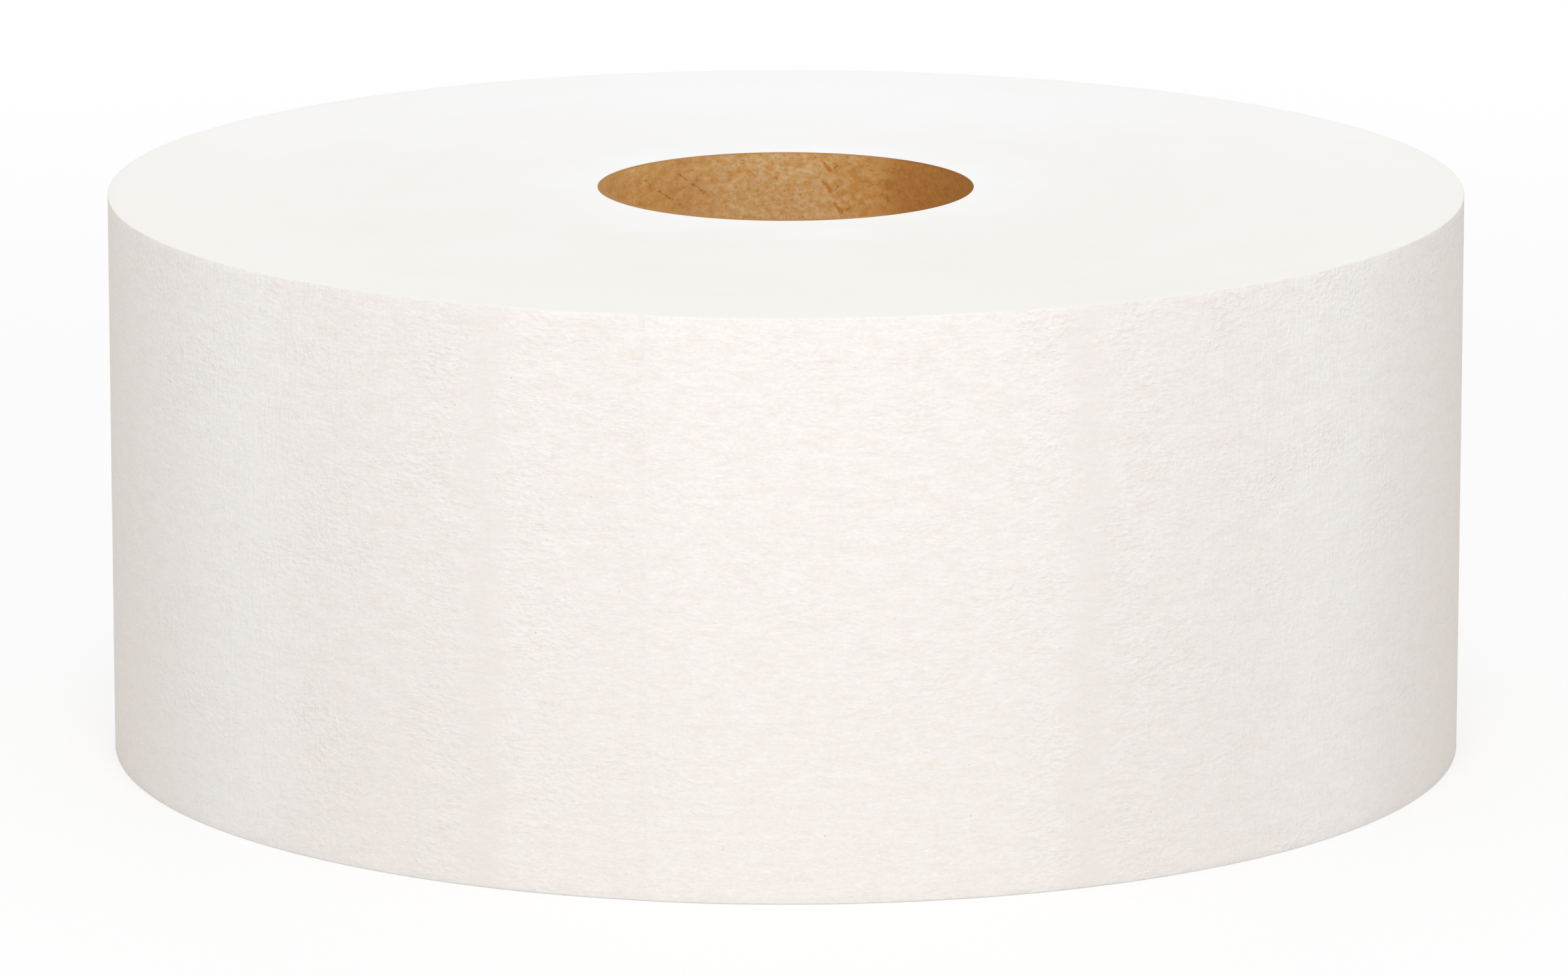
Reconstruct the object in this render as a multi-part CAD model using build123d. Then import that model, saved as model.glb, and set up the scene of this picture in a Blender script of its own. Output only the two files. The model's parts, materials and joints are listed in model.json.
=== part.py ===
from build123d import *
import math
import os

# Jumbo toilet paper roll, standing on its end.
# Millimetres, +Z up, origin at the middle of the end it stands on, and the photographed side faces -Y.

# Driving dimensions of the wound tissue
outer_diameter = 240.0
roll_width = 100.0
web_thickness = 0.2
tail_azimuth = 258.8

# Driving dimensions of the board core
core_bore_diameter = 64.0
core_wall = 1.3
core_plies = 3
seam_angle = 30.0
seam_width = 0.8
seam_top_azimuth = -60.0

# Uneven bands of turns on both ends
end_bands = 12
shallowest_band = 0.04
deepest_band = 0.25
band_slope = 1.6
band_unevenness = 0.28
band_rhythm = 2.4
recess_rhythm = 4.1
top_band_phase = 0.0
bottom_band_phase = 1.3

# Worked out from the values above
outer_radius = outer_diameter / 2
core_bore_radius = core_bore_diameter / 2
core_outer_radius = core_bore_radius + core_wall
ply_thickness = core_wall / core_plies
wound_depth = outer_radius - web_thickness - core_outer_radius


def direction(azimuth):
    """Unit vector in the floor plane, azimuth in degrees from +X."""
    return Vector(math.cos(math.radians(azimuth)), math.sin(math.radians(azimuth)))


def spiral_outline():
    """The outer turn seen from above: four tangent quarter arcs lose one web thickness in a whole turn."""
    drop = web_thickness / 4
    centre = Vector(0, 0)
    radius = outer_radius
    arcs = []
    for quarter in range(4):
        start = tail_azimuth + 90 * quarter
        arcs.append(CenterArc(centre, radius, start, 90))
        centre = centre + direction(start + 90) * drop
        radius = radius - drop
    free_edge = Line(arcs[-1] @ 1, arcs[0] @ 0)
    return make_face([*arcs, free_edge])


def band_edge_radius(band, phase):
    """Radius where a band of turns begins, unevenly spaced between the core and the outer turn."""
    share = (band + band_unevenness * math.sin(band_rhythm * band + phase)) / end_bands
    return core_outer_radius + wound_depth * share


def band_recess(band, phase):
    """How far a band of turns lies behind the end plane."""
    middle = (deepest_band + shallowest_band) / 2
    swing = (deepest_band - shallowest_band) / 2
    return middle + swing * math.sin(recess_rhythm * band + phase)


def end_relief(phase):
    """What the end plane loses where bands of turns lie back. The first and the last band stay flush."""
    depths = [0, *(band_recess(band, phase) for band in range(1, end_bands - 1)), 0]
    points = []
    for band in range(1, end_bands):
        edge = band_edge_radius(band, phase)
        points.append((edge - band_slope / 2, depths[band - 1]))
        points.append((edge + band_slope / 2, depths[band]))
    section = Plane.XZ * make_face(Polyline(*points, close=True))
    return revolve(section, Axis.Z)


def tissue_roll():
    """The wound web as one solid, with its free edge as a step of one web thickness on the side wall."""
    wound = extrude(spiral_outline(), roll_width)
    wound -= Pos(0, 0, roll_width / 2) * Cylinder(core_outer_radius, roll_width)
    wound -= end_relief(bottom_band_phase)
    wound -= Pos(0, 0, roll_width) * mirror(end_relief(top_band_phase), Plane.XY)
    return wound


def butt_seam():
    """The helical gap between neighbouring edges of the innermost ply, as a ribbon to cut away."""
    pitch = math.pi * core_bore_diameter * math.tan(math.radians(seam_angle))
    overrun = seam_width
    height = roll_width + 2 * overrun
    start_azimuth = seam_top_azimuth - 360 * (roll_width + overrun) / pitch
    path = Rot(0, 0, start_azimuth) * Helix(pitch, height, core_bore_radius, center=(0, 0, -overrun))
    square_on = Plane(origin=path @ 0, x_dir=direction(start_azimuth), z_dir=path % 0)
    section = square_on * Rectangle(2 * ply_thickness, seam_width)
    return sweep(section, path, is_frenet=True)


def core_tube():
    """The board core, flush with both ends of the tissue."""
    tube = Cylinder(core_outer_radius, roll_width) - Cylinder(core_bore_radius, roll_width)
    return Pos(0, 0, roll_width / 2) * tube - butt_seam()


os.makedirs("parts", exist_ok=True)
export_step(tissue_roll(), "parts/tissue_roll.step")
export_step(core_tube(), "parts/core_tube.step")
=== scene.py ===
import json
import math

import bpy
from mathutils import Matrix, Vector


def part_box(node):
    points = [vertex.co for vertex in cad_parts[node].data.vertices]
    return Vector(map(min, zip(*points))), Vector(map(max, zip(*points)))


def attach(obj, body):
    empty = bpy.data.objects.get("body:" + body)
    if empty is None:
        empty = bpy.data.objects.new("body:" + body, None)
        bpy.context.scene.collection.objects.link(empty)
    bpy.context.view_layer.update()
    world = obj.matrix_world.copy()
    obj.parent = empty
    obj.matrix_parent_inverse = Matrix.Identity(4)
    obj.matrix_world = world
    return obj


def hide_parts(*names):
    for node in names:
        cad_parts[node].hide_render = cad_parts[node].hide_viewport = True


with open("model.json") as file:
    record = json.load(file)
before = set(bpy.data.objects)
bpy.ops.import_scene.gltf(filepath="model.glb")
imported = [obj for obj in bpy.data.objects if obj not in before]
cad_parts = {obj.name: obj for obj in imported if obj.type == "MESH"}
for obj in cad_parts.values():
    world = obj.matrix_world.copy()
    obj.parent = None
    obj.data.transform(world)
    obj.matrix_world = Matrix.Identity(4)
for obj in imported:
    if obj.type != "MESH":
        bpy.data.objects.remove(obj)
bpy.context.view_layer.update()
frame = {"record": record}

# The roll in metres, with its box and its bore from the frame
MM = 0.001
ROLL_LOW, ROLL_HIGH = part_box("tissue_roll")
_, CORE_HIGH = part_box("core_tube")
ROLL_WIDTH = ROLL_HIGH.z - ROLL_LOW.z
ROLL_RADIUS = -ROLL_LOW.y
ROLL_MIDDLE = Vector((0, 0, ROLL_WIDTH / 2))
CORE_OUTER_RADIUS = CORE_HIGH.x
CORE_BORE_RADIUS = MM * next(
    mount["dims"]["r_mm"] for mount in frame["record"]["mounts"] if mount["kind"] == "bore"
)
WEB_THICKNESS = 0.2 * MM
TAIL_AZIMUTH = math.radians(258.8)

# Bands of turns on the ends, as in the solids
END_BANDS = 12
SHALLOWEST_BAND = 0.04 * MM
DEEPEST_BAND = 0.25 * MM
BAND_UNEVENNESS = 0.28
BAND_RHYTHM = 2.4
RECESS_RHYTHM = 4.1
TOP_BAND_PHASE = 0.0
BOTTOM_BAND_PHASE = 1.3

# The board core, as in the solids
CORE_PLIES = 3
SEAM_ANGLE = math.radians(30)
SEAM_WIDTH = 0.8 * MM
SEAM_TOP_AZIMUTH = math.radians(-60)

# Name under which a piece keeps its places on the unrolled wall
UNROLLED = "unrolled"

WHITE = (1.0, 1.0, 1.0, 1.0)


class Wiring:
    """Adds nodes to one tree and gives back their output sockets."""

    def __init__(self, tree):
        self.tree = tree

    def feed(self, socket, value):
        """Links an input socket to an output, or sets it to a constant."""
        if isinstance(value, bpy.types.NodeSocket):
            self.tree.links.new(value, socket)
        else:
            socket.default_value = value

    def add(self, kind, *values, out=0, **options):
        """A node with its options set and its inputs fed in order; None leaves an input as it is."""
        node = self.tree.nodes.new(kind)
        for option, setting in options.items():
            setattr(node, option, setting)
        for socket, value in zip(node.inputs, values):
            if value is not None:
                self.feed(socket, value)
        return node.outputs[out]

    def maths(self, operation, *values):
        return self.add("ShaderNodeMath", *values, operation=operation)

    def total(self, *values):
        result = values[0]
        for value in values[1:]:
            result = self.maths("ADD", result, value)
        return result

    def product(self, *values):
        result = values[0]
        for value in values[1:]:
            result = self.maths("MULTIPLY", result, value)
        return result

    def minus(self, value, taken):
        return self.maths("SUBTRACT", value, taken)

    def over(self, value, divisor):
        return self.maths("DIVIDE", value, divisor)

    def size(self, value):
        """The value without its sign."""
        return self.maths("ABSOLUTE", value)

    def weighted(self, *pairs):
        """Sum of values, each times its weight."""
        return self.total(*[self.product(value, weight) for value, weight in pairs])

    def distance(self, x, y):
        """Length of a flat vector."""
        return self.maths("SQRT", self.total(self.product(x, x), self.product(y, y)))

    def ramp(self, value, low, high, start=0.0, end=1.0, soft=False):
        """Goes from start to end while the value goes from low to high, and stays level beyond."""
        style = "SMOOTHSTEP" if soft else "LINEAR"
        return self.add("ShaderNodeMapRange", value, low, high, start, end, interpolation_type=style)

    def stretch(self, value, start, full, fading, end):
        """1 from one place to another and 0 beyond them, with soft ends."""
        rising = self.ramp(value, start, full, soft=True)
        falling = self.ramp(value, fading, end, 1.0, 0.0, soft=True)
        return self.product(rising, falling)

    def vector(self, x=0.0, y=0.0, z=0.0):
        return self.add("ShaderNodeCombineXYZ", x, y, z)

    def parts(self, vector):
        """The three numbers of a vector."""
        node = self.tree.nodes.new("ShaderNodeSeparateXYZ")
        self.feed(node.inputs[0], vector)
        return tuple(node.outputs)

    def noise(self, where, scale=1.0, detail=2.0, roughness=0.5, out=0):
        """Noise from 0 to 1; its Color output gives three unlike patterns."""
        return self.add("ShaderNodeTexNoise", where, None, scale, detail, roughness, out=out)

    def about_zero(self, noise):
        """Noise from 0 to 1 moved to swing about zero."""
        return self.total(noise, -0.5)

    def sway(self, noise, reach):
        """A shift that noise makes about zero, by half the reach each way."""
        return self.product(self.about_zero(noise), reach)

    def tint(self, share, first, second, blend="MIX"):
        """Mixes two colours."""
        node = self.tree.nodes.new("ShaderNodeMix")
        node.data_type = "RGBA"
        node.blend_type = blend
        colour_sockets = (node.inputs[0], node.inputs[6], node.inputs[7])
        for socket, value in zip(colour_sockets, (share, first, second)):
            self.feed(socket, value)
        return node.outputs[2]


def input_socket(tree, name, kind, default=None):
    """Gives a tree a named input, with its value where it has one."""
    socket = tree.interface.new_socket(name, in_out="INPUT", socket_type="NodeSocket" + kind)
    if default is not None:
        socket.default_value = default


def geometry_tree(name, sizes, counts, materials):
    """A new Geometry Nodes tree with named inputs: the tree, its wiring and its inputs by name."""
    tree = bpy.data.node_groups.new(name, "GeometryNodeTree")
    tree.is_modifier = True
    tree.interface.new_socket("Geometry", in_out="OUTPUT", socket_type="NodeSocketGeometry")
    for size, value in sizes.items():
        input_socket(tree, size, "Float", value)
    for count, value in counts.items():
        input_socket(tree, count, "Int", value)
    for material in materials:
        input_socket(tree, material, "Material")
    entry = tree.nodes.new("NodeGroupInput")
    return tree, Wiring(tree), {socket.name: socket for socket in entry.outputs if socket.name}


def finish_tree(wire, skin, wall_material, end_material, end_from):
    """Ends a tree with one material on the walls and another where the skin faces up or down."""
    skin = wire.add("GeometryNodeRealizeInstances", skin)
    facing_up = wire.add("ShaderNodeSeparateXYZ", wire.add("GeometryNodeInputNormal"), out="Z")
    on_end = wire.maths("GREATER_THAN", wire.size(facing_up), end_from)
    skin = wire.add("GeometryNodeSetMaterial", skin, True, wall_material)
    skin = wire.add("GeometryNodeSetMaterial", skin, on_end, end_material)
    leave = wire.tree.nodes.new("NodeGroupOutput")
    wire.feed(leave.inputs["Geometry"], skin)


def mesh_from_tree(name, tree, settings):
    """Runs a tree on an empty mesh, its inputs set by socket identifier, and keeps a plain mesh."""
    holder = bpy.data.objects.new(name + "_tree", bpy.data.meshes.new(name + "_tree"))
    bpy.context.scene.collection.objects.link(holder)
    modifier = holder.modifiers.new("turns", "NODES")
    modifier.node_group = tree
    for socket in tree.interface.items_tree:
        if socket.in_out == "INPUT" and socket.name in settings:
            modifier[socket.identifier] = settings[socket.name]
    evaluated = holder.evaluated_get(bpy.context.evaluated_depsgraph_get())
    mesh = bpy.data.meshes.new_from_object(evaluated)
    mesh.name = name
    bpy.data.objects.remove(holder)
    piece = bpy.data.objects.new(name, mesh)
    bpy.context.scene.collection.objects.link(piece)
    return piece


def ring_grid(wire, columns, rows):
    """A grid with columns round the roll and rows round its section: mesh, column and row."""
    grid = wire.add("GeometryNodeMeshGrid", 1.0, 1.0, columns, rows)
    index = wire.add("GeometryNodeInputIndex")
    column = wire.maths("FLOOR", wire.over(wire.total(index, 0.5), rows))
    row = wire.minus(index, wire.product(column, rows))
    return grid, column, row


def with_unrolled(wire, mesh, along, up):
    """Keeps the place of each face corner on the unrolled wall, so that a seam's two sides differ."""
    place = wire.add(
        "GeometryNodeFieldOnDomain", wire.vector(along, up), data_type="FLOAT_VECTOR", domain="POINT"
    )
    return wire.add(
        "GeometryNodeStoreNamedAttribute",
        mesh,
        True,
        UNROLLED,
        place,
        data_type="FLOAT2",
        domain="CORNER",
    )


def closed(wire, mesh, sharp_angle):
    """Joins the grid's meeting edges, and shades smooth but for edges over an angle."""
    meeting_gap = 0.001 * MM
    joined = wire.add("GeometryNodeMergeByDistance", mesh, True, meeting_gap)
    smooth = wire.add("GeometryNodeSetShadeSmooth", joined, True, True, domain="FACE")
    crisp = wire.maths("GREATER_THAN", wire.add("GeometryNodeInputMeshEdgeAngle"), sharp_angle)
    return wire.add("GeometryNodeSetShadeSmooth", smooth, crisp, False, domain="EDGE")


def band_edge_share(band, phase):
    """Where a band of turns begins, as a share of the wound depth, as in the solids."""
    return (band + BAND_UNEVENNESS * math.sin(BAND_RHYTHM * band + phase)) / END_BANDS


def band_recess(band, phase):
    """How far a band of turns lies back, as in the solids."""
    if band in (0, END_BANDS - 1):
        return 0.0
    middle = (DEEPEST_BAND + SHALLOWEST_BAND) / 2
    swing = (DEEPEST_BAND - SHALLOWEST_BAND) / 2
    return middle + swing * math.sin(RECESS_RHYTHM * band + phase)


def end_relief(wire, depth_share, phase):
    """Recess of an end face at a share of the wound depth, with soft steps from band to band."""
    softness = 0.016
    recess = 0.0
    for band in range(1, END_BANDS):
        edge = band_edge_share(band, phase)
        step = band_recess(band, phase) - band_recess(band - 1, phase)
        stepped = wire.ramp(depth_share, edge - softness, edge + softness, 0.0, step, soft=True)
        recess = wire.total(recess, stepped)
    return recess


def wound_web_tree():
    """The wound web as one closed skin: a spiral wall with a step at the free edge, and banded ends."""
    tree, wire, given = geometry_tree(
        "wound web",
        {
            "Outer Radius": ROLL_RADIUS,
            "Core Radius": CORE_OUTER_RADIUS,
            "Width": ROLL_WIDTH,
            "Web Thickness": WEB_THICKNESS,
            "Tail Azimuth": TAIL_AZIMUTH,
            "Tail Run": 0.4 * MM,
            "Pressed Edge": 0.11 * MM,
            "Pressed Length": 5 * MM,
            "Edge Rounding": 0.2 * MM,
            "Slack Relief": 0.10 * MM,
            "Lump Relief": 0.06 * MM,
        },
        {"Columns": 560, "Side Rows": 72, "End Rows": 44, "Corner Rows": 3},
        ["Side Material", "End Material"],
    )
    side_rows = given["Side Rows"]
    end_rows = given["End Rows"]
    corner_rows = given["Corner Rows"]
    outer = given["Outer Radius"]
    core = given["Core Radius"]
    width = given["Width"]
    rounding = given["Edge Rounding"]

    top_corner = side_rows
    top_end = wire.total(top_corner, corner_rows)
    bore = wire.total(top_end, end_rows)
    bottom_end = wire.total(bore, 1.0)
    bottom_corner = wire.total(bottom_end, end_rows)
    last_row = wire.total(bottom_corner, corner_rows)
    rows = wire.total(last_row, 1.0)
    columns = wire.total(given["Columns"], 2.0)
    grid, column, row = ring_grid(wire, columns, rows)

    quarter = math.pi / 2
    up_side = wire.ramp(row, 0.0, top_corner)
    round_top = wire.ramp(row, top_corner, top_end, 0.0, quarter)
    in_along_top = wire.ramp(row, top_end, bore)
    down_bore = wire.ramp(row, bore, bottom_end)
    out_along_bottom = wire.ramp(row, bottom_end, bottom_corner)
    round_bottom = wire.ramp(row, bottom_corner, last_row, 0.0, quarter)

    back_at_tail = wire.maths("GREATER_THAN", column, wire.total(given["Columns"], 0.5))
    before_tail = wire.minus(1.0, back_at_tail)
    turn = wire.maths("MINIMUM", wire.over(column, given["Columns"]), 1.0)
    tail_angle = wire.over(given["Tail Run"], outer)
    full_turn = wire.minus(math.tau, tail_angle)
    run = wire.weighted((turn, full_turn), (tail_angle, back_at_tail))
    azimuth = wire.total(given["Tail Azimuth"], run)
    cosine = wire.maths("COSINE", azimuth)
    sine = wire.maths("SINE", azimuth)
    lost = wire.product(given["Web Thickness"], turn, before_tail)
    rim = wire.minus(wire.minus(outer, lost), wire.total(rounding, core))

    flat_share = wire.total(wire.minus(1.0, in_along_top), out_along_bottom)
    bulge = wire.total(wire.maths("COSINE", round_top), wire.maths("SINE", round_bottom))
    radius = wire.total(core, wire.product(rim, flat_share), wire.product(rounding, bulge))
    straight = wire.minus(width, wire.product(rounding, 2.0))
    rise = wire.minus(wire.total(wire.maths("SINE", round_top), 2.0), wire.maths("COSINE", round_bottom))
    down = wire.product(width, -1.0)
    z = wire.weighted((straight, up_side), (rounding, rise), (down, down_bore))

    arc = wire.product(run, outer)
    x = wire.product(outer, cosine)
    y = wire.product(outer, sine)

    def relief(length, height, offset):
        """Noise with grains this long and high, in millimetres; offset keeps patterns apart."""
        per_length = 1 / (length * MM)
        per_height = 1 / (height * MM)
        where = wire.vector(
            wire.product(x, per_length), wire.product(y, per_length), wire.product(z, per_height)
        )
        moved = wire.add("ShaderNodeVectorMath", where, (offset, 0.0, 0.0), operation="ADD")
        return wire.noise(moved, detail=1.0)

    slack = relief(length=26, height=95, offset=3.0)
    lumps = relief(length=4.5, height=3.6, offset=7.0)
    clusters = wire.ramp(relief(length=26, height=30, offset=11.0), 0.45, 0.62, 0.15, 1.0, soft=True)
    past_tail = wire.product(arc, before_tail)
    flatter_above = wire.ramp(wire.over(z, width), 0.38, 0.58, 1.0, 1.5, soft=True)
    pressed = wire.ramp(past_tail, 0.0, given["Pressed Length"], given["Pressed Edge"], 0.0)
    sunk = wire.total(
        wire.product(slack, given["Slack Relief"]),
        wire.product(lumps, clusters, given["Lump Relief"]),
        wire.product(pressed, flatter_above),
    )
    slack_begins = wire.minus(outer, 4 * MM)
    slack_full = wire.minus(outer, 0.8 * MM)
    near_side = wire.ramp(radius, slack_begins, slack_full, soft=True)
    shown_radius = wire.minus(radius, wire.product(sunk, near_side))

    face_depth = 0.5 * MM
    depth_share = wire.over(wire.minus(radius, core), wire.minus(outer, core))
    on_top = wire.ramp(z, wire.minus(width, face_depth), width)
    on_bottom = wire.ramp(z, face_depth, 0.0)
    top_recess = wire.product(end_relief(wire, depth_share, TOP_BAND_PHASE), on_top)
    bottom_recess = wire.product(end_relief(wire, depth_share, BOTTOM_BAND_PHASE), on_bottom)
    shown_z = wire.total(z, bottom_recess, wire.product(top_recess, -1.0))

    place = wire.vector(wire.product(shown_radius, cosine), wire.product(shown_radius, sine), shown_z)
    shaped = wire.add("GeometryNodeSetPosition", grid, True, place)
    skin = closed(wire, with_unrolled(wire, shaped, arc, z), math.radians(35))
    finish_tree(wire, skin, given["Side Material"], given["End Material"], end_from=0.75)
    return tree


def core_tube_tree():
    """The spirally wound core: its columns follow the butt seam, and its cut ends show the plies."""
    tree, wire, given = geometry_tree(
        "spirally wound core",
        {
            "Bore Radius": CORE_BORE_RADIUS,
            "Outer Radius": CORE_OUTER_RADIUS,
            "Width": ROLL_WIDTH,
            "Plies": float(CORE_PLIES),
            "Seam Angle": SEAM_ANGLE,
            "Seam Width": SEAM_WIDTH,
            "Seam Top Azimuth": SEAM_TOP_AZIMUTH,
            "Cut Roughness": 0.05 * MM,
        },
        {"Columns": 220, "Wall Rows": 50, "Cut Rows": 14},
        ["Wall Material", "Cut Material"],
    )
    bore = given["Bore Radius"]
    wall = wire.minus(given["Outer Radius"], bore)
    width = given["Width"]

    top_cut = given["Wall Rows"]
    outside = wire.total(top_cut, given["Cut Rows"])
    bottom_cut = wire.total(outside, given["Wall Rows"])
    last_row = wire.total(bottom_cut, given["Cut Rows"])
    rows = wire.total(last_row, 1.0)
    seam_columns = 4.0
    columns = wire.total(given["Columns"], seam_columns + 1)
    grid, column, row = ring_grid(wire, columns, rows)

    up_bore = wire.ramp(row, 0.0, top_cut)
    across_top = wire.ramp(row, top_cut, outside)
    down_outside = wire.ramp(row, outside, bottom_cut)
    across_bottom = wire.ramp(row, bottom_cut, last_row)
    outward = wire.minus(across_top, across_bottom)
    upward = wire.minus(up_bore, down_outside)

    slant = wire.maths("SINE", given["Seam Angle"])
    seam_run = wire.over(given["Seam Width"], wire.product(bore, slant))
    edge_run = wire.product(seam_run, 0.04)
    first_edge = wire.ramp(column, 0.0, 1.0)
    floor_run = wire.ramp(column, 1.0, 2.0)
    second_edge = wire.ramp(column, 2.0, 3.0)
    around = wire.ramp(column, 3.0, wire.total(given["Columns"], seam_columns))
    left = wire.minus(math.tau, wire.total(seam_run, wire.product(edge_run, 2.0)))
    run = wire.weighted(
        (first_edge, edge_run), (floor_run, seam_run), (second_edge, edge_run), (around, left)
    )
    in_seam = wire.product(first_edge, wire.minus(1.0, second_edge))
    in_first_ply = wire.minus(1.0, wire.ramp(outward, 0.0, 0.3))
    seam_depth = wire.product(wire.over(wall, given["Plies"]), in_seam, in_first_ply)

    z = wire.product(width, upward)
    pitch = wire.product(bore, math.tau, wire.maths("TANGENT", given["Seam Angle"]))
    below_top = wire.minus(z, width)
    twist = wire.product(wire.over(below_top, pitch), math.tau)
    azimuth = wire.total(given["Seam Top Azimuth"], run, twist)
    cosine = wire.maths("COSINE", azimuth)
    sine = wire.maths("SINE", azimuth)
    radius = wire.total(bore, wire.product(wall, outward), seam_depth)

    on_top = wire.product(wire.ramp(across_top, 0.0, 0.05), wire.ramp(down_outside, 0.01, 0.0))
    on_bottom = wire.product(wire.ramp(down_outside, 0.99, 1.0), wire.ramp(across_bottom, 1.0, 0.95))
    ply_place = wire.maths("FRACT", wire.total(wire.product(outward, given["Plies"]), 0.5))
    from_joint = wire.size(wire.minus(ply_place, 0.5))
    joint = wire.ramp(from_joint, 0.0, 0.18, 1.0, 0.0, soft=True)
    inside_wall = wire.product(wire.ramp(outward, 0.1, 0.2), wire.ramp(outward, 0.9, 0.8))
    fray_grain = 40.0
    fray_place = wire.vector(
        wire.product(cosine, fray_grain), wire.product(sine, fray_grain), wire.product(outward, 3.0)
    )
    worn = wire.total(wire.product(joint, inside_wall, 2.0), wire.noise(fray_place))
    cut_depth = wire.product(given["Cut Roughness"], worn)
    shown_z = wire.total(z, wire.product(cut_depth, on_bottom), wire.product(cut_depth, on_top, -1.0))

    place = wire.vector(wire.product(radius, cosine), wire.product(radius, sine), shown_z)
    shaped = wire.add("GeometryNodeSetPosition", grid, True, place)
    along = wire.product(wire.total(run, twist), bore)
    outwards = wire.add("GeometryNodeFlipFaces", with_unrolled(wire, shaped, along, z))
    skin = closed(wire, outwards, math.radians(40))
    finish_tree(wire, skin, given["Wall Material"], given["Cut Material"], end_from=0.6)
    return tree


def new_material(name, roughness, specular):
    """A material with one Principled shader whose constants are set on its own sockets."""
    material = bpy.data.materials.new(name)
    material.use_nodes = True
    shader = material.node_tree.nodes["Principled BSDF"]
    shader.inputs["Roughness"].default_value = roughness
    shader.inputs["Specular IOR Level"].default_value = specular
    return material, Wiring(material.node_tree), shader


def emboss(wire, shader, height, distance):
    """Fine relief; distance is the height in metres that a whole unit of the pattern stands for."""
    relief = wire.tree.nodes.new("ShaderNodeBump")
    relief.inputs["Distance"].default_value = distance
    wire.feed(relief.inputs["Height"], height)
    wire.feed(shader.inputs["Normal"], relief.outputs["Normal"])


def unrolled_place(wire):
    """Distance along the unrolled wall and height above the floor, in millimetres."""
    along, up, _ = wire.parts(wire.add("ShaderNodeUVMap", uv_map=UNROLLED))
    return wire.product(along, 1 / MM), wire.product(up, 1 / MM)


def place_in_mm(wire):
    """Place on the object in millimetres."""
    place = wire.add("ShaderNodeTexCoord", out="Object")
    return wire.add("ShaderNodeVectorMath", place, (1 / MM, 1 / MM, 1 / MM), operation="MULTIPLY")


def patch(wire, along, up, length, height, layer, detail=1.0, roughness=0.5, out=0):
    """Noise whose grains are about this long and high, in millimetres; layer keeps patterns apart."""
    where = wire.vector(wire.product(along, 1 / length), wire.product(up, 1 / height), layer)
    return wire.noise(where, 1.0, detail, roughness, out)


def one_per_cell(wire, along, up, length, height):
    """A spot per cell of this size in millimetres: distance from it in cells, and two random numbers."""
    cell = wire.vector(wire.product(along, 1 / length), wire.product(up, 1 / height))
    from_spot = wire.add("ShaderNodeTexVoronoi", cell, None, 1.0, voronoi_dimensions="2D")
    first, second, _ = wire.parts(from_spot.node.outputs["Color"])
    return from_spot, first, second


def swing(wire, colour, pattern, amounts):
    """Varies a colour with a pattern about zero; each channel by its own amount."""
    factors = [wire.total(wire.product(pattern, amount), 1.0) for amount in amounts]
    return wire.tint(1.0, colour, wire.vector(*factors), "MULTIPLY")


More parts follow.
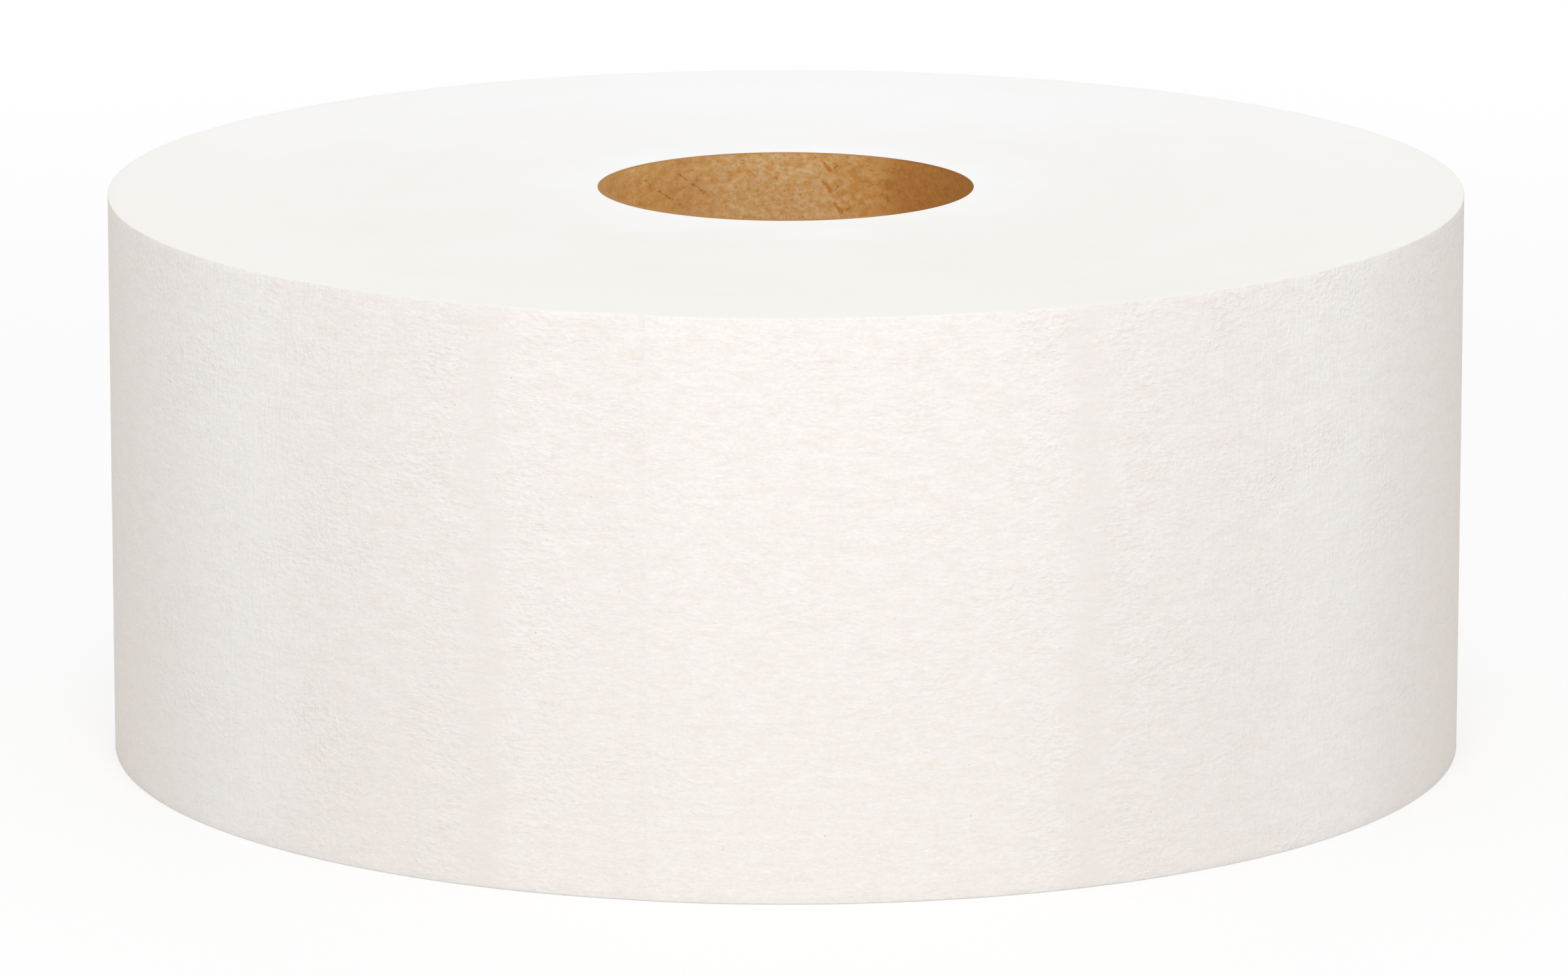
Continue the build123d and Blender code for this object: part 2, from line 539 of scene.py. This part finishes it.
def tissue_side_material():
    """Outer turn: warm white creped tissue with lying flecks, upright crepe lines, lumps and specks."""
    material, wire, shader = new_material("tissue_side", 0.95, 0.0)
    tissue = (0.911, 0.870, 0.823, 1.0)
    # The next colour is for pale fibre clumps and painted glints.
    fleck_and_glint_white = (0.985, 0.975, 0.965, 1.0)
    straw = (0.86, 0.74, 0.52, 1.0)
    tan = (0.74, 0.60, 0.40, 1.0)
    bark = (0.27, 0.18, 0.11, 1.0)

    along, up = unrolled_place(wire)
    x, y, _ = wire.parts(place_in_mm(wire))
    from_middle = wire.size(x)
    bend_along, bend_up, _ = wire.parts(patch(wire, along, up, 7.0, 5.0, 12.0, out="Color"))
    bent_along = wire.total(along, wire.sway(bend_along, 3.0))
    bent_up = wire.total(up, wire.sway(bend_up, 1.1))

    def bent_patch(*sizes):
        """A patch on the bent web, about zero."""
        return wire.about_zero(patch(wire, bent_along, bent_up, *sizes))

    wander = wire.noise(wire.vector(wire.product(up, 1 / 11)), 1.0, 3.0, 0.6)
    side = wire.total(from_middle, wire.sway(wander, 16.0))
    from_band = wire.size(wire.total(side, -50.5))
    # An upright band 50.5 mm either side of the middle, darker and with calmer texture.
    upright_band = wire.ramp(from_band, 0.5, 4.5, 1.0, 0.0, soft=True)
    beside_band = wire.stretch(from_band, 2.0, 6.0, 8.0, 16.0)
    flock = wire.ramp(patch(wire, along, up, 22.0, 15.0, 5.0), 0.52, 0.66, soft=True)
    front = wire.ramp(y, -114.0, -84.0, 1.0, 0.0, soft=True)
    off_front = wire.ramp(front, 0.0, 1.0, 0.5, 0.1)
    lumpy = wire.maths("MINIMUM", wire.total(beside_band, flock, off_front), 1.5)
    stronger_above = wire.ramp(up, 15.0, 95.0, 0.9, 1.18)
    calm_band = wire.ramp(upright_band, 0.0, 1.0, 1.0, 0.5)
    calm_limb = wire.ramp(from_middle, 96.0, 116.0, 1.0, 0.72)
    strength = wire.product(stronger_above, calm_band, calm_limb)

    fleck = wire.product(bent_patch(2.5, 0.9, 2.0, 1.5, 0.55), wire.ramp(front, 0.0, 1.0, 0.75, 1.0))
    upright = wire.about_zero(patch(wire, bent_along, up, 0.7, 6.0, 1.0, 1.5, 0.6))
    crepe = wire.product(upright, wire.ramp(front, 0.0, 1.0, 0.9, 0.15))
    lump = wire.product(bent_patch(1.3, 0.85, 4.0, 1.5, 0.6), lumpy)
    grain = bent_patch(0.85, 0.42, 3.0, 1.0, 0.7)
    height = wire.weighted((fleck, 0.45), (crepe, 0.56), (lump, 0.76), (grain, 0.14))
    emboss(wire, shader, wire.product(height, strength), 0.22 * MM)

    # Painted light: the side is a little lighter towards its top.
    colour = swing(wire, tissue, wire.ramp(up, 30.0, 97.0, -0.3, 1.0), (0.015, 0.015, 0.018))
    brighter_right = wire.product(
        wire.ramp(x, 40.0, 100.0, soft=True), wire.ramp(x, 98.0, 114.0, 1.0, -0.2)
    )
    colour = swing(wire, colour, brighter_right, (0.014, 0.013, 0.017))
    # Partly the web's own formation and partly painted light and shade of the crinkles: raised parts of
    # the relief lighter and bluer, low parts darker and warmer; the grain below likewise.
    cloud = bent_patch(7.0, 2.6, 9.0)
    formation_and_crinkle_shade = wire.total(
        fleck, wire.product(crepe, 0.5), wire.product(lump, 0.5), wire.product(cloud, 0.7)
    )
    colour = swing(wire, colour, wire.product(formation_and_crinkle_shade, strength), (0.095, 0.128, 0.140))
    colour = swing(wire, colour, wire.product(grain, strength), (0.085, 0.125, 0.140))
    grit = wire.about_zero(patch(wire, along, up, 0.55, 0.42, 13.0, 1.0, 0.7))
    colour = swing(wire, colour, grit, (0.060, 0.085, 0.100))
    red, green, blue = wire.parts(patch(wire, along, up, 1.3, 0.7, 8.0, 2.0, 0.6, out="Color"))
    colour = swing(wire, colour, wire.about_zero(red), (0.055, 0.0, 0.0))
    colour = swing(wire, colour, wire.about_zero(green), (0.0, 0.040, 0.0))
    colour = swing(wire, colour, wire.about_zero(blue), (0.0, 0.0, 0.060))

    # Painted shade: darker bands from 44 to 90 mm either side of the middle, where light falls off round
    # the roll. The upright band is darker too.
    painted_shade_bands = wire.stretch(side, 44.0, 50.0, 72.0, 90.0)
    darkening = wire.total(painted_shade_bands, wire.product(upright_band, 0.65))
    colour = swing(wire, colour, darkening, (-0.021, -0.023, -0.024))
    # Painted light: paler, cooler upright bands from 80 to 106 mm either side of the middle, as from
    # light from the sides.
    pale = wire.stretch(side, 80.0, 93.0, 96.0, 106.0)
    colour = swing(wire, colour, pale, (0.016, 0.024, 0.036))
    # Painted shade: warmer and darker towards the roll's left and right edges, where less light reaches.
    limb_shade_tint = wire.ramp(from_middle, 103.0, 118.0)
    colour = swing(wire, colour, limb_shade_tint, (0.0, -0.006, -0.020))
    last_stretch = wire.ramp(along, 724.0, 753.0, soft=True)
    colour = swing(wire, colour, last_stretch, (-0.012, -0.013, -0.014))

    # Partly pale fibre clumps and partly painted glints on the crinkles.
    white_fleck_glint = wire.ramp(patch(wire, bent_along, bent_up, 1.5, 0.42, 14.0), 0.64, 0.78, 0.0, 0.7)
    colour = wire.tint(wire.product(white_fleck_glint, strength), colour, fleck_and_glint_white)
    tan_fleck = wire.ramp(patch(wire, bent_along, bent_up, 0.9, 0.42, 10.0), 0.74, 0.83, 0.0, 0.5)
    colour = wire.tint(tan_fleck, colour, tan)
    from_warm, warmth, _ = one_per_cell(wire, along, up, 16.0, 10.0)
    warm_spot = wire.ramp(from_warm, 0.010, 0.036, 1.0, 0.0, soft=True)
    colour = wire.tint(wire.product(warm_spot, wire.ramp(warmth, 0.4, 1.0, 0.0, 0.5)), colour, straw)
    from_speck, chosen, darkness = one_per_cell(wire, along, up, 15.0, 15.0)
    round_speck = wire.ramp(from_speck, 0.003, 0.011, 1.0, 0.0)
    speck = wire.product(round_speck, wire.maths("GREATER_THAN", chosen, 0.6))
    colour = wire.tint(wire.product(speck, wire.ramp(darkness, 0.0, 1.0, 0.15, 0.60)), colour, bark)
    wire.feed(shader.inputs["Base Color"], colour)
    return material


def tissue_end_material():
    """Cut end of the wound web: almost bare of marks, with faint streaks that follow the turns."""
    material, wire, shader = new_material("tissue_end", 0.95, 0.0)
    white = (0.908, 0.888, 0.830, 1.0)
    whiter = (0.922, 0.908, 0.866, 1.0)
    whitest = (0.940, 0.932, 0.908, 1.0)

    place = place_in_mm(wire)
    x, y, _ = wire.parts(place)
    radius = wire.distance(x, y)
    cosine = wire.over(x, radius)
    sine = wire.over(y, radius)

    def along_turns(depth, grains, detail):
        """Noise this deep across the turns, in millimetres, and drawn out along them."""
        where = wire.vector(
            wire.product(radius, 1 / depth), wire.product(cosine, grains), wire.product(sine, grains)
        )
        return wire.noise(where, 1.0, detail, 0.6)

    streak = along_turns(1.6, 2.4, 3.0)
    turns = along_turns(0.35, 4.0, 2.0)
    dust = wire.noise(place, 1 / 0.7, 2.0, 0.6)
    emboss(wire, shader, wire.weighted((streak, 0.25), (turns, 0.25), (dust, 0.3)), 0.03 * MM)

    cloud = wire.noise(place, 1 / 30)
    clouded = wire.total(wire.ramp(cloud, 0.35, 0.65, 0.0, 0.6), wire.ramp(streak, 0.35, 0.7, 0.0, 0.25))
    colour = wire.tint(clouded, white, whiter)
    # Painted light: paler round the core, towards the back and in a patch before the core, as light and
    # sheen fall on the end.
    round_core = wire.ramp(wire.total(radius, wire.sway(cloud, 40.0)), 34.0, 52.0, 0.8, 0.0, soft=True)
    behind = wire.ramp(wire.total(y, wire.sway(cloud, 60.0)), 20.0, 75.0, 0.0, 0.3, soft=True)
    from_patch = wire.distance(wire.total(x, -7.0), wire.total(y, 43.0))
    in_front = wire.ramp(wire.total(from_patch, wire.sway(cloud, 12.0)), 3.0, 15.0, 0.7, 0.0, soft=True)
    painted_light_patches = wire.maths("MAXIMUM", wire.maths("MAXIMUM", round_core, behind), in_front)
    colour = wire.tint(painted_light_patches, colour, whitest)
    to_the_sides = wire.ramp(wire.size(x), 55.0, 115.0, soft=True)
    colour = swing(wire, colour, to_the_sides, (0.022, 0.021, 0.024))
    wire.feed(shader.inputs["Base Color"], colour)
    return material


def slanted(wire, along, up, degrees):
    """Place along and across a line that falls to the right at this angle, in millimetres."""
    rise = math.sin(math.radians(degrees))
    reach = math.cos(math.radians(degrees))
    return wire.weighted((along, reach), (up, rise)), wire.weighted((up, reach), (along, -rise))


def board_side_shade(wire, x, z, cloud, mottle):
    """How far painted shade darkens the board: on one side, with a ragged edge and a tongue below the
    top.
    """
    ragged = wire.total(wire.sway(cloud, 10.0), wire.sway(mottle, 16.0))
    side = wire.ramp(wire.total(x, ragged), 15.0, 22.5, 0.0, 0.97, soft=True)
    from_tongue = wire.distance(wire.total(x, -20.5), wire.total(z, -95.6))
    tongue = wire.ramp(wire.total(from_tongue, wire.sway(mottle, 12.0)), 1.5, 5.0, 0.9, 0.0, soft=True)
    return wire.maths("MAXIMUM", side, tongue)


def strokes(wire, along, up, wobble, marks):
    """Where single fibres lie in the board: azimuth, depth, length, half width and slope of each."""
    shown = 0.0
    for azimuth, below, length, half_width, degrees in marks:
        round_from_seam = (math.radians(azimuth) - SEAM_TOP_AZIMUTH) * CORE_BORE_RADIUS / MM
        from_left = wire.total(along, -round_from_seam)
        from_below = wire.total(up, below - ROLL_WIDTH / MM)
        lengthwise, across = slanted(wire, from_left, from_below, degrees)
        taper = wire.ramp(lengthwise, -length / 2, length / 2, half_width, 0.3 * half_width)
        past_edge = wire.minus(wire.size(wire.total(across, wobble)), taper)
        inked = wire.ramp(past_edge, -0.13, 0.10, 1.0, 0.0, soft=True)
        within = wire.ramp(wire.size(lengthwise), length / 2 - 0.15, length / 2 + 0.1, 1.0, 0.0)
        shown = wire.maths("MAXIMUM", shown, wire.product(inked, within))
    return shown


def board_wall_material():
    """Uncoated brown board: mottled, paler in the middle, darker on one side by painted shade, with stray
    fibres.
    """
    material, wire, shader = new_material("board_wall", 0.9, 0.04)
    kraft = (0.645, 0.329, 0.091, 1.0)
    pale = (0.772, 0.549, 0.277, 1.0)
    spotted = (0.545, 0.270, 0.080, 1.0)
    shade_brown = (0.518, 0.243, 0.066, 1.0)
    rust = (0.590, 0.200, 0.045, 1.0)
    brown = (0.40, 0.145, 0.040, 1.0)
    umber = (0.27, 0.115, 0.036, 1.0)
    dark = (0.16, 0.07, 0.03, 1.0)
    lint = (0.92, 0.76, 0.55, 1.0)

    along, up = unrolled_place(wire)
    x, _, z = wire.parts(place_in_mm(wire))
    mottle = patch(wire, along, up, 1.75, 1.3, 1.0, 4.0, 0.62)
    fine = patch(wire, along, up, 0.85, 0.7, 2.0, 2.0, 0.6)
    cloud = patch(wire, along, up, 10.0, 9.0, 3.0, 2.0)
    chip = patch(wire, *slanted(wire, along, up, 48), 2.6, 0.50, 4.0)
    hair = patch(wire, *slanted(wire, along, up, 30), 1.9, 0.32, 5.0)
    lint_spot = patch(wire, along, up, 0.5, 0.4, 6.0)
    emboss(wire, shader, wire.total(fine, mottle), 0.03 * MM)

    from_middle = wire.size(wire.total(x, 3.0))
    middle = wire.ramp(from_middle, 6.0, 17.0, 0.38, 0.0, soft=True)
    off_middle = wire.ramp(from_middle, 5.0, 14.0, 0.25, 1.0, soft=True)
    # Painted light: the board is paler towards the left end of the bore.
    painted_light_left = wire.ramp(x, -18.0, -29.0, soft=True)
    plainer_left = wire.ramp(x, -22.0, -7.0, 0.62, 1.0, soft=True)
    mottled = wire.product(wire.ramp(mottle, 0.36, 0.64, -0.41, 0.39), plainer_left)
    clouded = wire.ramp(cloud, 0.35, 0.65, 0.17, 0.37)
    colour = wire.tint(wire.total(mottled, clouded, middle, wire.product(painted_light_left, 0.15)), kraft, pale)
    colour = wire.tint(wire.ramp(fine, 0.52, 0.72, 0.0, 0.65), colour, spotted)
    colour = swing(wire, colour, painted_light_left, (0.14, 0.14, 0.10))
    blotch = wire.about_zero(patch(wire, along, up, 3.4, 2.6, 8.0, 2.0, 0.6))
    colour = swing(wire, colour, wire.product(blotch, off_middle), (0.30, 0.42, 0.55))
    middle_mottle = wire.product(wire.about_zero(mottle), wire.ramp(off_middle, 0.25, 1.0, 1.0, 0.0))
    colour = swing(wire, colour, middle_mottle, (0.0, 0.30, 0.90))
    # Painted shade: the board is darker and mottled on one side of the bore.
    patchy = swing(wire, shade_brown, wire.total(mottle, fine, -1.0), (0.40, 0.85, 0.40))
    colour = wire.tint(board_side_shade(wire, x, z, cloud, mottle), colour, patchy)
    colour = wire.tint(wire.ramp(chip, 0.73, 0.78, 0.0, 0.8), colour, rust)
    colour = wire.tint(wire.ramp(hair, 0.78, 0.83, 0.0, 0.75), colour, dark)
    colour = wire.tint(wire.ramp(lint_spot, 0.78, 0.84, 0.0, 0.6), colour, lint)
    from_pit, chosen, depth = one_per_cell(wire, along, up, 2.4, 2.4)
    round_pit = wire.ramp(from_pit, 0.04, 0.09, 1.0, 0.0)
    pit = wire.product(round_pit, wire.maths("GREATER_THAN", chosen, 0.5), depth)
    colour = wire.tint(wire.product(pit, 0.6), colour, brown)

    # Azimuth, depth below the top, length, half width and slope of each fibre, in degrees and millimetres
    splinters = [
        (76.8, 2.1, 2.8, 0.42, 45),
        (76.5, 5.9, 2.8, 0.42, 47),
        (72.8, 9.7, 2.7, 0.42, 46),
    ]
    hairs = [
        (125.0, 3.4, 1.9, 0.15, 38),
        (119.3, 5.6, 2.6, 0.17, 33),
        (140.3, 3.3, 1.9, 0.15, 40),
        (132.5, 6.1, 3.2, 0.17, 31),
    ]
    curls = [
        (73.7, 2.3, 1.1, 0.21, -50),
        (73.2, 6.1, 1.2, 0.23, -50),
        (69.6, 9.8, 1.1, 0.21, -45),
        (117.2, 6.5, 0.8, 0.14, -30),
        (129.5, 7.1, 0.8, 0.14, -30),
    ]
    heads = [
        (126.5, 2.7, 0.7, 0.26, 10),
        (121.5, 4.8, 0.8, 0.28, 10),
        (141.8, 2.7, 0.7, 0.24, 10),
        (135.3, 5.2, 0.8, 0.24, 10),
    ]
    wobble = wire.sway(patch(wire, along, up, 0.9, 0.9, 7.0, 2.0), 0.75)
    matted = wire.ramp(patch(wire, along, up, 0.45, 0.45, 9.0), 0.35, 0.65, 0.6, 1.0)
    for marks, share, tone in (
        (splinters, 1.0, rust), (hairs, 0.9, brown), (curls, 0.85, umber), (heads, 0.75, dark)
    ):
        inked = wire.product(strokes(wire, along, up, wobble, marks), matted, share)
        colour = wire.tint(inked, colour, tone)
    wire.feed(shader.inputs["Base Color"], colour)
    return material


def board_cut_material():
    """Cut ends of the board: open fibres, darker than the plies' faces partly from the open fibres and
    partly as painted shade, and with the same painted shade on one side.
    """
    material, wire, shader = new_material("board_cut", 0.95, 0.0)
    hollow_shade = (0.42, 0.21, 0.068, 1.0)
    fibre = (0.52, 0.29, 0.115, 1.0)
    shade_brown = (0.31, 0.13, 0.033, 1.0)

    place = place_in_mm(wire)
    x, _, z = wire.parts(place)
    fibres = wire.noise(place, 1 / 0.6, 3.0, 0.6)
    cloud = wire.noise(place, 1 / 9)
    emboss(wire, shader, fibres, 0.12 * MM)
    # Painted shade in the hollows between fibres.
    colour = wire.tint(wire.ramp(fibres, 0.3, 0.7), hollow_shade, fibre)
    colour = wire.tint(board_side_shade(wire, x, z, cloud, fibres), colour, shade_brown)
    wire.feed(shader.inputs["Base Color"], colour)
    return material


def make_tissue_roll():
    """The tissue's skin, which stands for its solid."""
    web = mesh_from_tree(
        "wound_web",
        wound_web_tree(),
        {"Side Material": tissue_side_material(), "End Material": tissue_end_material()},
    )
    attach(web, "root")
    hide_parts("tissue_roll")


def make_core():
    """The board core's skin, which stands for its solid."""
    core = mesh_from_tree(
        "board_core",
        core_tube_tree(),
        {"Wall Material": board_wall_material(), "Cut Material": board_cut_material()},
    )
    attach(core, "root")
    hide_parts("core_tube")


def seen_directly(wire):
    """1 where the camera looks, also mirrored or through glass, and 0 for light cast on the roll."""
    path = wire.tree.nodes.new("ShaderNodeLightPath").outputs
    indirectly = wire.maths("MAXIMUM", path["Is Glossy Ray"], path["Is Transmission Ray"])
    return wire.maths("MAXIMUM", path["Is Camera Ray"], indirectly)


def make_floor():
    """A pale floor, to the camera bright with the roll's soft shadow, and plain white further out."""
    side = 12.0
    level = -0.05 * MM
    mesh = bpy.data.meshes.new("floor")
    corners = [(-side, -side, level), (side, -side, level), (side, side, level), (-side, side, level)]
    mesh.from_pydata(corners, [], [(0, 1, 2, 3)])
    floor = bpy.data.objects.new("floor", mesh)
    bpy.context.scene.collection.objects.link(floor)
    material = bpy.data.materials.new("pale_floor")
    material.use_nodes = True
    wire = Wiring(material.node_tree)
    material.node_tree.nodes.remove(material.node_tree.nodes["Principled BSDF"])
    lit = wire.add("ShaderNodeBsdfDiffuse", (0.72, 0.72, 0.72, 1.0))
    shadowed = wire.add("ShaderNodeBsdfDiffuse", (0.40, 0.40, 0.40, 1.0))
    glow = wire.add("ShaderNodeEmission", WHITE, 0.60)
    near = wire.add("ShaderNodeAddShader", shadowed, glow)
    plain_white = wire.add("ShaderNodeEmission", WHITE, 1.0)
    x, y, _ = wire.parts(wire.add("ShaderNodeTexCoord", out="Object"))
    further_out = wire.ramp(wire.distance(x, y), 0.3, 0.8, soft=True)
    shown = wire.add("ShaderNodeMixShader", further_out, near, plain_white)
    mixed = wire.add("ShaderNodeMixShader", seen_directly(wire), lit, shown)
    wire.feed(wire.tree.nodes["Material Output"].inputs["Surface"], mixed)
    mesh.materials.append(material)


def make_world():
    """Even soft light from all round, seen by the camera as white."""
    world = bpy.data.worlds.new("studio")
    bpy.context.scene.world = world
    world.use_nodes = True
    wire = Wiring(world.node_tree)
    cast_on_roll = 0.73
    seen_white = 1.0
    level = wire.ramp(seen_directly(wire), 0.0, 1.0, cast_on_roll, seen_white)
    background = wire.tree.nodes["Background"]
    wire.feed(background.inputs["Color"], WHITE)
    wire.feed(background.inputs["Strength"], level)


def add_lamp(name, away, size, power, colour=(1.0, 1.0, 1.0)):
    """A soft square lamp, in metres from the roll's middle, aimed at it and unseen by the camera."""
    lamp = bpy.data.lights.new(name, "AREA")
    lamp.shape = "SQUARE"
    lamp.size = size
    lamp.energy = power
    lamp.color = colour
    stand = bpy.data.objects.new(name, lamp)
    bpy.context.scene.collection.objects.link(stand)
    stand.location = Vector(away) + ROLL_MIDDLE
    stand.rotation_euler = Vector(away).to_track_quat("Z", "Y").to_euler()
    stand.visible_camera = False


def make_camera():
    """The photograph's view, from a fit of the roll's two rims and the core's mouth."""
    photo_width = 2428
    photo_height = 1512
    focal_px = 15329.4
    roll_centre_px = (1216.5, 715.6)
    distance = 14.69 * ROLL_RADIUS
    elevation = math.radians(12.136)
    camera = bpy.data.cameras.new("camera")
    camera.sensor_width = 36.0
    camera.lens = focal_px * camera.sensor_width / photo_width
    camera.clip_start = 0.1
    camera.clip_end = 100.0
    stand = bpy.data.objects.new("camera", camera)
    bpy.context.scene.collection.objects.link(stand)
    back = Vector((0, -math.cos(elevation), math.sin(elevation)))
    upward = Vector((0, math.sin(elevation), math.cos(elevation)))
    per_px = distance / focal_px
    right_by = (photo_width / 2 - roll_centre_px[0]) * per_px
    down_by = (photo_height / 2 - roll_centre_px[1]) * per_px
    aim = ROLL_MIDDLE + Vector((right_by, 0, 0)) - upward * down_by
    stand.location = ROLL_MIDDLE + back * distance
    stand.rotation_mode = "QUATERNION"
    stand.rotation_quaternion = (aim - stand.location).to_track_quat("-Z", "Y")
    bpy.context.scene.camera = stand


def make_studio():
    """Floor, world and lamps: a broad light from the front and from behind, and two small accents."""
    make_floor()
    make_world()
    add_lamp("front_lamp", away=(0.0, -1.45, 0.93), size=1.1, power=10.4)
    add_lamp("front_accent", away=(0.0, -0.30, 0.20), size=0.10, power=0.018)
    add_lamp("back_lamp", away=(0.0, 1.93, 0.52), size=1.2, power=8.0)
    add_lamp("end_accent", away=(0.0, 0.12, 0.21), size=0.12, power=0.053, colour=(0.59, 0.67, 1.0))
    bpy.context.scene.view_settings.view_transform = "Standard"


make_camera()
make_tissue_roll()
make_core()
make_studio()
